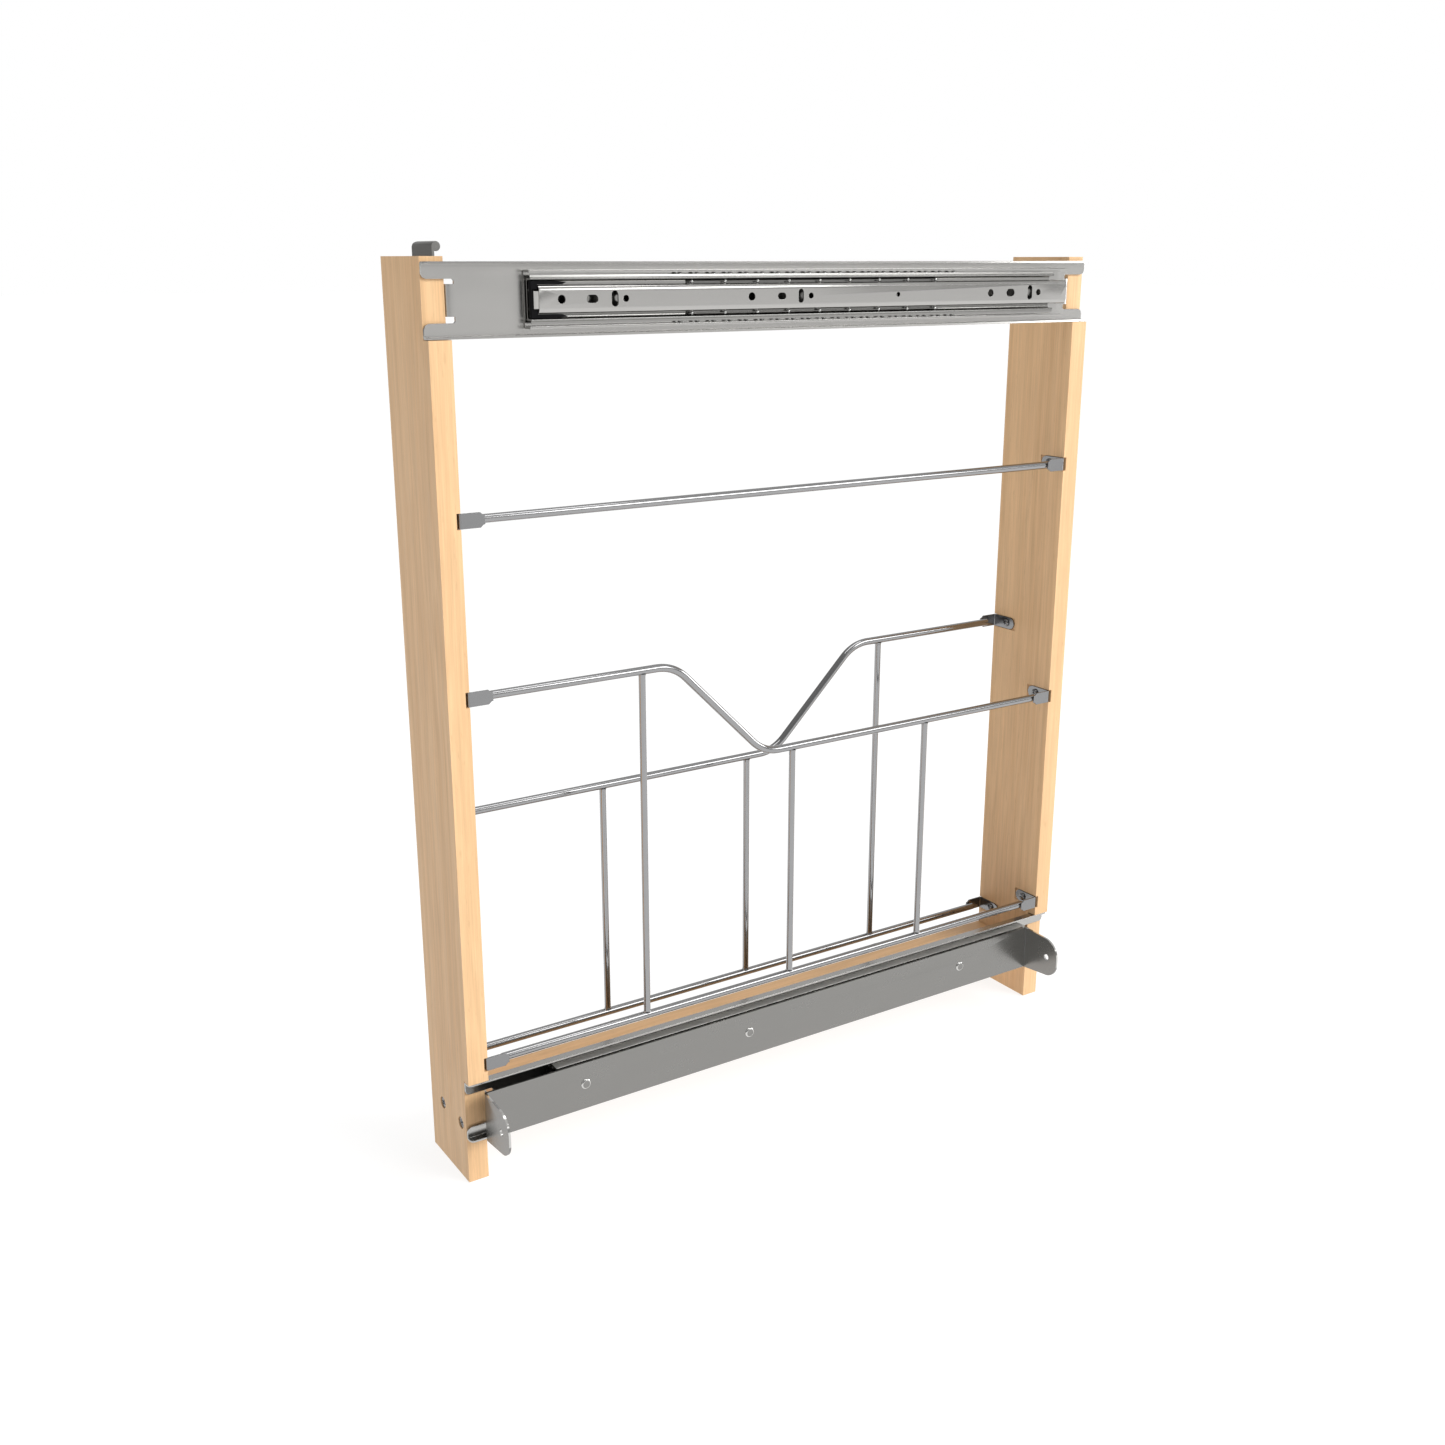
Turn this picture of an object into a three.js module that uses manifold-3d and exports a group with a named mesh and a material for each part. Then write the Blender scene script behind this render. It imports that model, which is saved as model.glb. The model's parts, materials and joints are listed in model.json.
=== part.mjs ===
// A narrow pull-out organiser for a kitchen base cabinet. Two upright boards and a bottom shelf
// carry a towel rail and two welded wire panels, and ride on a top and a bottom ball-bearing slide.
// Drawing axes: X runs from the front board to the rear board, Y runs from the slide side to the
// far side, Z is up. All lengths are in millimetres.

import * as THREE from 'three';
import { mergeVertices } from 'three/addons/utils/BufferGeometryUtils.js';
import Module from 'manifold-3d';

const wasm = await Module();
wasm.setup();

// Wooden frame
const FRAME_LENGTH = 545;
const BOARD_THICKNESS = 15;
const BOARD_WIDTH = 70;
const BOARD_HEIGHT = 627;
const SHELF_THICKNESS = 12;
const SHELF_TOP_Z = 49.3;
const FIT_GAP = 0.3;

// Steel channels, let into recesses in the near edges of the boards
const CHANNEL_RECESS = 8;
const CHANNEL_HEIGHT = 45;
const CHANNEL_SHEET = 1.5;
const CHANNEL_FLANGE_Y = 0.5;
const TOP_SLIDE_Z = 601.5;
const BOTTOM_SLIDE_Z = 57.5;
const FORK_UPPER_Z = 12.5;
const FORK_LOWER_Z = -13.2;
const FORK_END = 20.5;
const TAB_HALF_HEIGHT = 9.5;
const LOW_TAB_BOTTOM = -7.4;
const TAB_REACH_Y = 23;
const TAB_SCREW_Y = 16;
const TAB_SCREW_RISE = 1;

// Ball-bearing slides
const SLIDE_OUTER_X = [66, 516];
const SLIDE_MID_X = [67, 505];
const SLIDE_INNER_X = [72.2, 517.9];
const INNER_FACE_Y = -3.4;
const OUTER_CAGE = { balls: 19, pitch: 12.9, start: 175.6, radius: 1.6, y: 1.1, z: 14.45 };
const INNER_CAGE = { balls: 9, pitch: 25.8, start: 183.8, radius: 1.3, y: -0.1, z: 10.05 };

// Mounting bracket of the bottom slide
const BRACKET_SHEET = 1.6;
const BRACKET_BACK_Y = -3.7;
const BRACKET_X = [9.2, 517];
const BRACKET_Z = [37.9, 74.3];
const EAR_REACH_Y = -43;
const EAR_CORNERS = { top: 15, bottom: 13 };
const EAR_TAPER = { top: 0.8, bottom: 2.6 };
const EAR_HOLE = { y: -31, z: 57, radius: 2.6 };
const DIMPLE_X = [87.6, 229.1, 441];

// Wire work
const RAIL_RADIUS = 2.9;
const BAR_RADIUS = 2.45;
const WIRE_SIDES = 12;
const RAIL_INSET_Y = 4.3;
const RAIL_END_X = 27.5;
const TOWEL_RAIL_Z = 469.4;
const PANEL_BASE_Z = 92.6;
const FAR_PANEL_DROP = 24.5;
const PANEL_LOW = 185.1;
const PANEL_STEP = 76.7;
const STEP_START_X = 170;
const STEP_BEND = 14;
const BAR_SPACING = 127.8;

// End clips of the wires
const CLIP_SHEET = 1.2;
const CLIP_HEIGHT = 9.8;
const CLIP_FACE_X = 14.2;
const CLIP_LENGTH_X = 17.3;
const CLIP_LENGTH_Y = 24.3;
const CLIP_SCREW_Y = 15.5;
const CLIP_RELIEF = { x: 1.9, y: 6.5 };

// Catch plate on top of the front board
const CATCH_SHEET = 2;
const CATCH_Y = [25.3, 56.5];
const CATCH_BOTTOM_Z = 588;
const CATCH_ROLL = { x: 18.35, z: 632.8, radius: 3.05 };
const CATCH_SCREW_Z = 604;

// Shelf screws, through the boards into the ends of the shelf
const SHELF_SCREW_Y = [17.4, 49.3];
const SHELF_SCREW_HEAD = 4.2;
const COUNTERSINK_GAP = 0.4;

// Mounting reference: the fixing face of the front ear, level with the bottom slide
const REFERENCE_POINT = new THREE.Vector3(BRACKET_X[0], -15, BOTTOM_SLIDE_Z);

const FAR_PANEL_BASE_Z = PANEL_BASE_Z - FAR_PANEL_DROP;
const WEB_BACK_Y = CHANNEL_RECESS - FIT_GAP;
const WEB_FRONT_Y = WEB_BACK_Y - CHANNEL_SHEET;

// Finishes
const FINISH = {
  wood: { color: 0xd9b183, roughness: 0.6, metalness: 0 },
  channelSteel: { color: 0xa9a7a2, roughness: 0.35, metalness: 0.9 },
  slideSteel: { color: 0xb4b3af, roughness: 0.28, metalness: 0.95 },
  bracketSteel: { color: 0x8f8e89, roughness: 0.4, metalness: 0.9 },
  clipSteel: { color: 0x8a8d90, roughness: 0.35, metalness: 0.9 },
  chrome: { color: 0xc9ccd0, roughness: 0.12, metalness: 1 },
  ballCage: { color: 0xbfbfbc, roughness: 0.25, metalness: 0.9 },
  screwSteel: { color: 0x77787a, roughness: 0.3, metalness: 0.9 },
  blackPlastic: { color: 0x0c0c0d, roughness: 0.5, metalness: 0 },
};

// ---------- solid helpers ----------

function toManifold(geometry) {
  const plain = geometry.clone();
  plain.deleteAttribute('normal');
  plain.deleteAttribute('uv');
  const welded = mergeVertices(plain, 1e-5);
  return new wasm.Manifold(new wasm.Mesh({
    numProp: 3,
    vertProperties: Float32Array.from(welded.attributes.position.array),
    triVerts: Uint32Array.from(welded.index.array),
  }));
}

function toGeometry(solid) {
  const mesh = solid.getMesh();
  const geometry = new THREE.BufferGeometry();
  geometry.setAttribute('position', new THREE.BufferAttribute(mesh.vertProperties, 3));
  geometry.setIndex(new THREE.BufferAttribute(mesh.triVerts, 1));
  return geometry;
}

function cutAway(body, tools) {
  let solid = toManifold(body);
  for (const tool of tools) solid = solid.subtract(toManifold(tool));
  return toGeometry(solid);
}

function joinAll(parts) {
  let solid = toManifold(parts[0]);
  for (const part of parts.slice(1)) solid = solid.add(toManifold(part));
  return toGeometry(solid);
}

function block(x0, x1, y0, y1, z0, z1) {
  const geometry = new THREE.BoxGeometry(Math.abs(x1 - x0), Math.abs(y1 - y0), Math.abs(z1 - z0));
  return geometry.translate((x0 + x1) / 2, (y0 + y1) / 2, (z0 + z1) / 2);
}

function extruded(points, depth) {
  const outline = points.map(([u, v]) => new THREE.Vector2(u, v));
  return new THREE.ExtrudeGeometry(new THREE.Shape(outline), { depth, bevelEnabled: false });
}

// A profile drawn in Y and Z, drawn out along X.
function alongX(points, x0, x1) {
  const turn = new THREE.Matrix4().makeBasis(
    new THREE.Vector3(0, 1, 0),
    new THREE.Vector3(0, 0, 1),
    new THREE.Vector3(1, 0, 0),
  );
  return extruded(points, x1 - x0).applyMatrix4(turn).translate(x0, 0, 0);
}

// A profile drawn in X and Z, drawn out along Y.
function alongY(points, y0, y1) {
  return extruded(points, y1 - y0).rotateX(Math.PI / 2).translate(0, y1, 0);
}

// A profile drawn in X and Y, drawn out along Z.
function alongZ(points, z0, z1) {
  return extruded(points, z1 - z0).translate(0, 0, z0);
}

// Points on an arc; angles in degrees, both ends included.
function arcPoints(cu, cv, radius, from, to, segments) {
  const points = [];
  for (let i = 0; i <= segments; i += 1) {
    const angle = THREE.MathUtils.degToRad(from + ((to - from) * i) / segments);
    points.push([cu + radius * Math.cos(angle), cv + radius * Math.sin(angle)]);
  }
  return points;
}

function ringPoints(cu, cv, radius, segments) {
  return arcPoints(cu, cv, radius, 0, 360 - 360 / segments, segments - 1);
}

function slotPoints(cu, cv, halfU, halfV) {
  const radius = Math.min(halfU, halfV);
  const reachU = halfU - radius;
  const reachV = halfV - radius;
  const turn = halfU >= halfV ? -90 : 0;
  return [
    ...arcPoints(cu + reachU, cv + reachV, radius, turn, turn + 180, 8),
    ...arcPoints(cu - reachU, cv - reachV, radius, turn + 180, turn + 360, 8),
  ];
}

// A section that is the same above and below its middle line.
function symmetricSection(upperHalf) {
  const lowerHalf = upperHalf.map(([y, z]) => [y, -z]).reverse();
  return [...upperHalf, ...lowerHalf];
}

// X measured from the outer face of the front board, or of the rear board.
function fromEnd(end, x) {
  return end === 'front' ? x : FRAME_LENGTH - x;
}

// Y measured from the near edge of the boards, or from the far edge.
function fromEdge(edge, y) {
  return edge === 'near' ? y : BOARD_WIDTH - y;
}

// ---------- wooden frame ----------

// What is screwed to each board: the clip pockets at the near and the far edge.
const CLIP_PLACES = {
  front: [
    { edge: 'near', z: TOWEL_RAIL_Z },
    { edge: 'near', z: PANEL_BASE_Z + PANEL_LOW + PANEL_STEP },
    { edge: 'near', z: PANEL_BASE_Z },
    { edge: 'far', z: FAR_PANEL_BASE_Z + PANEL_LOW },
    { edge: 'far', z: FAR_PANEL_BASE_Z },
  ],
  rear: [
    { edge: 'near', z: TOWEL_RAIL_Z },
    { edge: 'near', z: PANEL_BASE_Z + PANEL_LOW },
    { edge: 'near', z: PANEL_BASE_Z },
    { edge: 'far', z: FAR_PANEL_BASE_Z + PANEL_LOW + PANEL_STEP },
    { edge: 'far', z: FAR_PANEL_BASE_Z },
  ],
};

const SHELF_SCREW_Z = SHELF_TOP_Z - SHELF_THICKNESS / 2;

// A hole along X for a screw of this shank radius, between two distances from the board's outer face.
function screwHole(end, from, to, y, z, radius) {
  const x = [fromEnd(end, from), fromEnd(end, to)].sort((a, b) => a - b);
  return alongX(ringPoints(y, z, radius, 12), x[0], x[1]);
}

// The pocket for one clip, with a deeper relief at the board's edge for the clip's bend.
function clipPocket(end, { edge, z }) {
  const half = CLIP_HEIGHT / 2 + FIT_GAP;
  const pocket = block(
    fromEnd(end, CLIP_FACE_X - FIT_GAP), fromEnd(end, BOARD_THICKNESS + 1),
    fromEdge(edge, -1), fromEdge(edge, CLIP_LENGTH_Y + 1), z - half, z + half,
  );
  const relief = block(
    fromEnd(end, CLIP_FACE_X - CLIP_RELIEF.x), fromEnd(end, BOARD_THICKNESS + 1),
    fromEdge(edge, -1), fromEdge(edge, CLIP_RELIEF.y), z - half, z + half,
  );
  return [pocket, relief];
}

function boardScrewHoles(end) {
  const holes = CLIP_PLACES[end].map(({ edge, z }) => (
    screwHole(end, 2.5, BOARD_THICKNESS + 1, fromEdge(edge, CLIP_SCREW_Y), z, 1.9)
  ));
  for (const z of [TOP_SLIDE_Z, BOTTOM_SLIDE_Z]) {
    holes.push(screwHole(end, 2.5, BOARD_THICKNESS + 1, TAB_SCREW_Y, z + TAB_SCREW_RISE, 1.9));
  }
  for (const y of SHELF_SCREW_Y) {
    holes.push(screwHole(end, -1, BOARD_THICKNESS + 1, y, SHELF_SCREW_Z, 2.2));
    holes.push(screwHole(end, -1, 3.6, y, SHELF_SCREW_Z, SHELF_SCREW_HEAD + COUNTERSINK_GAP));
  }
  if (end === 'front') {
    const middle = (CATCH_Y[0] + CATCH_Y[1]) / 2;
    holes.push(screwHole(end, 2.5, BOARD_THICKNESS + 1, middle, CATCH_SCREW_Z, 1.9));
  }
  return holes;
}

function uprightBoard(end) {
  const body = block(fromEnd(end, 0), fromEnd(end, BOARD_THICKNESS), 0, BOARD_WIDTH, 0, BOARD_HEIGHT);
  const topRecess = TOP_SLIDE_Z - CHANNEL_HEIGHT / 2 - FIT_GAP;
  const bottomRecess = BOTTOM_SLIDE_Z + CHANNEL_HEIGHT / 2 + FIT_GAP;
  const sides = [fromEnd(end, -1), fromEnd(end, BOARD_THICKNESS + 1)];
  const cuts = [
    block(...sides, -1, CHANNEL_RECESS, topRecess, BOARD_HEIGHT + 1),
    block(...sides, -1, CHANNEL_RECESS, -1, bottomRecess),
    ...CLIP_PLACES[end].flatMap((place) => clipPocket(end, place)),
    ...boardScrewHoles(end),
  ];
  return cutAway(body, cuts);
}

function bottomShelf() {
  const x0 = BOARD_THICKNESS + FIT_GAP;
  const body = block(
    x0, FRAME_LENGTH - x0, CHANNEL_RECESS, BOARD_WIDTH, SHELF_TOP_Z - SHELF_THICKNESS, SHELF_TOP_Z,
  );
  const holes = [];
  for (const end of ['front', 'rear']) {
    for (const y of SHELF_SCREW_Y) {
      holes.push(screwHole(end, x0 - 1, 42, y, SHELF_SCREW_Z, 2.2));
    }
  }
  return cutAway(body, holes);
}

// ---------- channels ----------

function channelSection() {
  const half = CHANNEL_HEIGHT / 2;
  return symmetricSection([
    [WEB_FRONT_Y, half - CHANNEL_SHEET],
    [CHANNEL_FLANGE_Y, half - CHANNEL_SHEET],
    [CHANNEL_FLANGE_Y, half],
    [WEB_BACK_Y - 1, half],
    [WEB_BACK_Y, half - 1],
  ]);
}

// The opening between the two fork arms, with rounded arm ends and notch ends.
function forkOpening(end) {
  const points = [
    [-1, FORK_UPPER_Z + 3],
    [0, FORK_UPPER_Z + 3],
    [0.9, FORK_UPPER_Z + 0.9],
    [3, FORK_UPPER_Z],
    [FORK_END - 1, FORK_UPPER_Z],
    [FORK_END, FORK_UPPER_Z - 1],
    [FORK_END, FORK_LOWER_Z + 1],
    [FORK_END - 1, FORK_LOWER_Z],
    [3.5, FORK_LOWER_Z],
    [1, FORK_LOWER_Z - 1],
    [0, FORK_LOWER_Z - 3.5],
    [-1, FORK_LOWER_Z - 3.5],
  ];
  return alongY(points.map(([x, z]) => [fromEnd(end, x), z]), 3, 9);
}

// The rounded front corner of both flanges.
function flangeCorner(end) {
  const points = [[-1, -1], [3, -1], [3, 0.5], [0.9, 1.4], [0, 3.5], [-1, 3.5]];
  return alongZ(points.map(([x, y]) => [fromEnd(end, x), y]), -CHANNEL_HEIGHT, CHANNEL_HEIGHT);
}

// The tab that is bent back from the web and lies against the board's inner face.
function bentTab(end, bottom) {
  const face = BOARD_THICKNESS + FIT_GAP;
  const bend = 3;
  const outerBend = arcPoints(face + bend, WEB_FRONT_Y + bend, bend, 270, 180, 5);
  const innerBend = arcPoints(face + bend, WEB_FRONT_Y + bend, bend - CHANNEL_SHEET, 180, 270, 5);
  const points = [
    [FORK_END + 0.5, WEB_FRONT_Y],
    ...outerBend,
    [face, TAB_REACH_Y],
    [face + CHANNEL_SHEET, TAB_REACH_Y],
    ...innerBend,
    [FORK_END + 0.5, WEB_BACK_Y],
  ];
  return alongZ(points.map(([x, y]) => [fromEnd(end, x), y]), bottom, TAB_HALF_HEIGHT);
}

function channel(tabBottom) {
  const ends = ['front', 'rear'];
  const rail = alongX(channelSection(), 0, FRAME_LENGTH);
  const forked = cutAway(rail, ends.flatMap((end) => [forkOpening(end), flangeCorner(end)]));
  const tabbed = joinAll([forked, ...ends.map((end) => bentTab(end, tabBottom))]);
  return cutAway(tabbed, ends.map((end) => (
    screwHole(end, BOARD_THICKNESS - 1, 19, TAB_SCREW_Y, TAB_SCREW_RISE, 2)
  )));
}

// ---------- ball-bearing slides, drawn about their own middle line ----------

function slideOuter() {
  const section = symmetricSection([
    [4.9, 16],
    [4.6, 16.3],
    [-1.5, 16.3],
    [-1.7, 15.9],
    [-2.6, 15.9],
    [-2.6, 16.9],
    [-2, 17.5],
    [4.9, 17.5],
    [5.9, 16.5],
  ]);
  return alongX(section, ...SLIDE_OUTER_X);
}

function slideMid() {
  const section = symmetricSection([
    [2.7, 11.3],
    [2.4, 11.6],
    [-1.9, 11.6],
    [-2.5, 12.2],
    [-2.5, 14.6],
    [-1.5, 14.6],
    [-1.5, 12.8],
    [-1.3, 12.6],
    [3.1, 12.6],
    [3.7, 12],
  ]);
  return alongX(section, ...SLIDE_MID_X);
}

// Round holes and slots in the face of the inner member: centre X, half length and half height.
const INNER_HOLES = [
  { x: 87.6, halfX: 2.7, halfZ: 2.7 },
  { x: 109, halfX: 4.2, halfZ: 2.5 },
  { x: 125.2, halfX: 2.4, halfZ: 4.9 },
  { x: 133.2, halfX: 2.1, halfZ: 2.1 },
  { x: 229.1, halfX: 2.7, halfZ: 2.7 },
  { x: 253.5, halfX: 3.4, halfZ: 2.2 },
  { x: 269.3, halfX: 2.1, halfZ: 4.6 },
  { x: 277.7, halfX: 2, halfZ: 2 },
  { x: 353.8, halfX: 1.6, halfZ: 1.6 },
  { x: 441, halfX: 2.7, halfZ: 2.7 },
  { x: 460.6, halfX: 4, halfZ: 2.7 },
  { x: 480.1, halfX: 2.3, halfZ: 5.2 },
  { x: 488.8, halfX: 2.3, halfZ: 2.3 },
];

function innerHole({ x, halfX, halfZ }) {
  const outline = halfX === halfZ ? ringPoints(x, 0, halfX, 16) : slotPoints(x, 0, halfX, halfZ);
  return alongY(outline, INNER_FACE_Y - 1, 0);
}

function slideInner() {
  const section = symmetricSection([
    [INNER_FACE_Y, 6.4],
    [INNER_FACE_Y + 1.5, 8.5],
    [1.5, 8.5],
    [1.5, 7.3],
    [INNER_FACE_Y + 2, 7.3],
    [INNER_FACE_Y + 1.2, 6.2],
  ]);
  const start = SLIDE_INNER_X[0];
  const tongue = block(start - 3.4, start + 1, INNER_FACE_Y + 0.8, INNER_FACE_Y + 1.8, -5.6, 5);
  const body = joinAll([alongX(section, ...SLIDE_INNER_X), tongue]);
  return cutAway(body, INNER_HOLES.map(innerHole));
}

// The U-shaped plastic stop in the front end of the middle member.
function slideBumper() {
  const start = SLIDE_MID_X[0] + 0.2;
  const upperHalf = [
    [start, 11.2],
    [start + 12, 11.2],
    [start + 25, 10.4],
    [start + 21.6, 8.9],
    [start + 4.6, 8.9],
    [start + 4.6, 6],
    [start + 1.3, 6],
  ];
  return alongY(symmetricSection(upperHalf), -2.1, 1.4);
}

// A ball strip: a thin C-shaped strip with a row of balls along its upper and its lower arm.
function ballCage({ balls, pitch, start, radius, y, z }, section) {
  const length = (balls - 1) * pitch;
  const parts = [alongX(symmetricSection(section), start - 2.4, start + length + 2.4)];
  for (let i = 0; i < balls; i += 1) {
    for (const side of [1, -1]) {
      const ball = new THREE.IcosahedronGeometry(radius, 0);
      parts.push(ball.translate(start + i * pitch, y, side * z));
    }
  }
  return joinAll(parts);
}

function outerCage() {
  return ballCage(OUTER_CAGE, [[4.1, 14.25], [-1.1, 14.25], [-1.1, 14.7], [4.2, 14.7], [4.5, 14.4]]);
}

function innerCage() {
  return ballCage(INNER_CAGE, [[1.9, 9.85], [-1.4, 9.85], [-1.4, 10.25], [2.1, 10.25], [2.3, 10.05]]);
}

// ---------- mounting bracket ----------

// The face plate and both ears as one bent strip seen from above.
function bracketStrip() {
  const front = BRACKET_BACK_Y - BRACKET_SHEET;
  const bend = 2;
  const [x0, x1] = BRACKET_X;
  const points = [
    [x0, EAR_REACH_Y],
    ...arcPoints(x0 + bend, BRACKET_BACK_Y - bend, bend, 180, 90, 5),
    ...arcPoints(x1 - bend, BRACKET_BACK_Y - bend, bend, 90, 0, 5),
    [x1, EAR_REACH_Y],
    [x1 - BRACKET_SHEET, EAR_REACH_Y],
    [x1 - BRACKET_SHEET, front - 0.6],
    [x1 - BRACKET_SHEET - 0.6, front],
    [x0 + BRACKET_SHEET + 0.6, front],
    [x0 + BRACKET_SHEET, front - 0.6],
    [x0 + BRACKET_SHEET, EAR_REACH_Y],
  ];
  return alongZ(points, ...BRACKET_Z);
}

// What is cut off an ear, which tapers from the face plate to a rounded outer corner.
// side is 1 at the top and -1 at the bottom.
function earCorner(side, x) {
  const plateEdge = side > 0 ? BRACKET_Z[1] : BRACKET_Z[0];
  const radius = side > 0 ? EAR_CORNERS.top : EAR_CORNERS.bottom;
  const edge = plateEdge - side * (side > 0 ? EAR_TAPER.top : EAR_TAPER.bottom);
  const cy = EAR_REACH_Y + radius;
  const cz = edge - side * radius;
  const arc = arcPoints(cy, cz, radius, 180, 180 - side * 90, 10);
  const root = BRACKET_BACK_Y - BRACKET_SHEET - 2;
  const outside = [
    [root, plateEdge],
    [root, plateEdge + side],
    [EAR_REACH_Y - 1, plateEdge + side],
    [EAR_REACH_Y - 1, cz],
  ];
  return alongX([...arc, ...outside], x - 3, x + 3);
}

// A shallow pressed dimple that stands out of the face plate.
function dimple(x) {
  const front = BRACKET_BACK_Y - BRACKET_SHEET;
  const dome = new THREE.LatheGeometry([
    new THREE.Vector2(0, -0.5),
    new THREE.Vector2(3.6, -0.5),
    new THREE.Vector2(3.6, 0.1),
    new THREE.Vector2(3, 0.7),
    new THREE.Vector2(2.1, 1),
    new THREE.Vector2(0, 1.1),
  ], 20);
  return dome.rotateX(Math.PI).translate(x, front, BOTTOM_SLIDE_Z);
}

function mountBracket() {
  const strip = joinAll([bracketStrip(), ...DIMPLE_X.map(dimple)]);
  const cuts = [];
  for (const x of BRACKET_X) {
    cuts.push(earCorner(1, x));
    cuts.push(earCorner(-1, x));
    cuts.push(alongX(ringPoints(EAR_HOLE.y, EAR_HOLE.z, EAR_HOLE.radius, 20), x - 3, x + 3));
  }
  return cutAway(strip, cuts);
}

// ---------- wire work ----------

function straightRail() {
  return alongX(ringPoints(0, 0, RAIL_RADIUS, WIRE_SIDES), RAIL_END_X, FRAME_LENGTH - RAIL_END_X);
}

// A round wire along an open run of points in X and Z, with rounded bends at the inner points.
function bentWire(points, radius, bendRadius) {
  const corners = points.map(([x, z]) => new THREE.Vector3(x, 0, z));
  const circle = ringPoints(0, 0, radius, WIRE_SIDES);
  const section = new THREE.Shape(circle.map(([u, v]) => new THREE.Vector2(u, v)));
  const parts = [];
  let start = corners[0];
  for (let i = 1; i < corners.length; i += 1) {
    const last = i === corners.length - 1;
    const along = corners[i].clone().sub(corners[i - 1]).normalize();
    const end = last ? corners[i] : corners[i].clone().addScaledVector(along, -bendRadius);
    parts.push(sweep(section, new THREE.LineCurve3(start, end), 1));
    if (!last) {
      const onward = corners[i + 1].clone().sub(corners[i]).normalize();
      const exit = corners[i].clone().addScaledVector(onward, bendRadius);
      const entry = end.clone().addScaledVector(along, -0.4);
      const leave = exit.clone().addScaledVector(onward, 0.4);
      parts.push(sweep(section, new THREE.QuadraticBezierCurve3(entry, corners[i], leave), 4));
      start = exit;
    }
  }
  return joinAll(parts);
}

function sweep(section, path, steps) {
  return new THREE.ExtrudeGeometry(section, { steps, extrudePath: path, bevelEnabled: false });
}

// The stepped top wire of a panel: high at its front end, low at its rear end.
function steppedRail() {
  return bentWire([
    [RAIL_END_X, PANEL_LOW + PANEL_STEP],
    [STEP_START_X, PANEL_LOW + PANEL_STEP],
    [STEP_START_X + PANEL_STEP, PANEL_LOW],
    [FRAME_LENGTH - RAIL_END_X, PANEL_LOW],
  ], RAIL_RADIUS, STEP_BEND);
}

// An upright wire between the panel's bottom wire and its top wire.
function panelBar(high) {
  const top = PANEL_LOW + (high ? PANEL_STEP : 0) - RAIL_RADIUS - 0.15;
  return alongZ(ringPoints(0, 0, BAR_RADIUS, WIRE_SIDES), RAIL_RADIUS + 0.15, top);
}

// ---------- clips and screws ----------

// An end clip, drawn at the near edge of the front board and about its own middle height.
function endClip() {
  const x0 = CLIP_FACE_X;
  const half = CLIP_HEIGHT / 2;
  const outline = [
    [x0 + 1, 0],
    [x0 + CLIP_LENGTH_X, 0],
    [x0 + CLIP_LENGTH_X, CLIP_SHEET],
    [x0 + 1.6, CLIP_SHEET],
    [x0 + CLIP_SHEET, 1.6],
    [x0 + CLIP_SHEET, CLIP_LENGTH_Y],
    [x0, CLIP_LENGTH_Y],
    [x0, 1],
  ];
  const nose = x0 + CLIP_LENGTH_X;
  const tail = CLIP_LENGTH_Y;
  const cuts = [screwHole('front', x0 - 1, x0 + 3, CLIP_SCREW_Y, 0, 1.9)];
  for (const side of [1, -1]) {
    cuts.push(alongY([
      [nose - 3.2, side * (half + 1)],
      [nose - 3.2, side * half],
      [nose - 1.2, side * (half - 1.8)],
      [nose + 1, side * (half - 2)],
      [nose + 1, side * (half + 1)],
    ], -1, 2));
    cuts.push(alongX([
      [tail - 4.5, side * (half + 1)],
      [tail - 4.5, side * half],
      [tail - 1.3, side * (half - 1.3)],
      [tail, side * (half - 4.5)],
      [tail + 1, side * (half - 4.5)],
      [tail + 1, side * (half + 1)],
    ], x0 - 1, x0 + 2));
  }
  return cutAway(alongZ(outline, -half, half), cuts);
}

// A pan-head screw; its head faces +X and its shank runs towards -X from the origin.
function panScrew() {
  const profile = [[0, -11], [1.45, -9], [1.45, 0], [3.1, 0], [3.1, 0.8], [2.1, 1.9], [0, 1.9]];
  const points = profile.map(([radius, height]) => new THREE.Vector2(radius, height));
  return new THREE.LatheGeometry(points, 12).rotateZ(-Math.PI / 2);
}

// A flat-head screw; its head faces -X at the origin and its shank runs towards +X.
function shelfScrew() {
  const head = SHELF_SCREW_HEAD;
  const profile = [[0, 0], [head, 0], [head, 0.5], [1.8, 2.6], [1.8, 37], [0, 39.5]];
  const points = profile.map(([radius, height]) => new THREE.Vector2(radius, height));
  return new THREE.LatheGeometry(points, 12).rotateZ(-Math.PI / 2);
}

// ---------- catch plate ----------

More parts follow.
